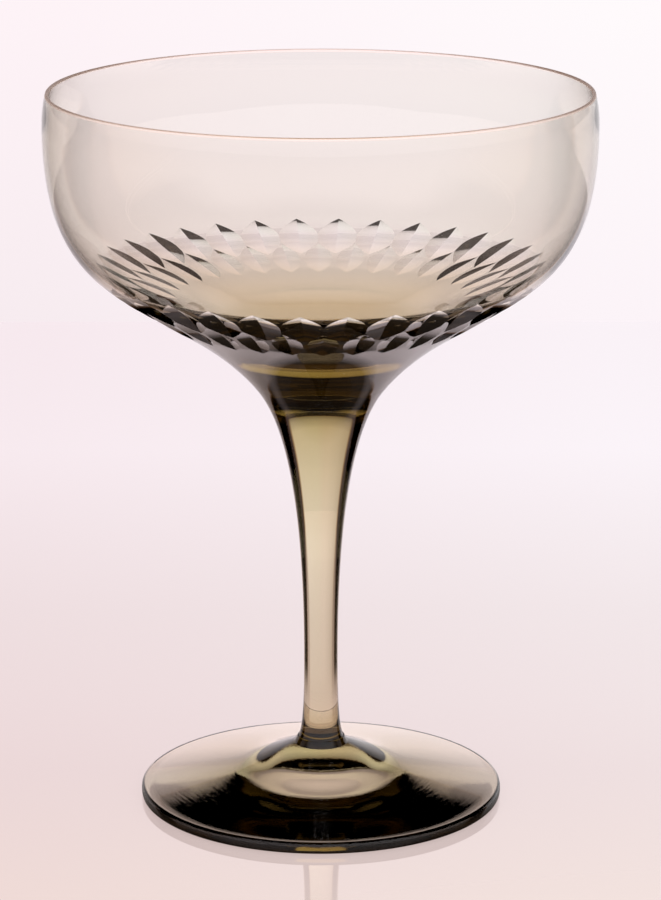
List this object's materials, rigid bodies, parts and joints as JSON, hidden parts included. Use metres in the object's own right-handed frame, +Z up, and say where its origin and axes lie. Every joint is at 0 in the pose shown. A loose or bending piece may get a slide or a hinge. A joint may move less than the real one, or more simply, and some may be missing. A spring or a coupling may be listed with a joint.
{
  "type": "sherbet glass",
  "caption": "Coupe-shaped sherbet glass of smoky tinted glass: wide thin bowl with staggered scale cuts underneath, drawn solid stem and flat round foot.",
  "frame": {"origin": "centre of the plane that the foot rests on", "axes": "+Z up along the glass's axis of turning, from the foot to the rim"},
  "size_m": [0.1014, 0.1014, 0.135],
  "materials": {
    "tinted_glass": "fire polished, with two rows of polished wheel cuts; smoky olive-grey tint that darkens with thickness"
  },
  "bodies": {
    "root": {"foot": "tinted_glass", "stem": "tinted_glass", "bowl": "tinted_glass"}
  },
  "joints": []
}
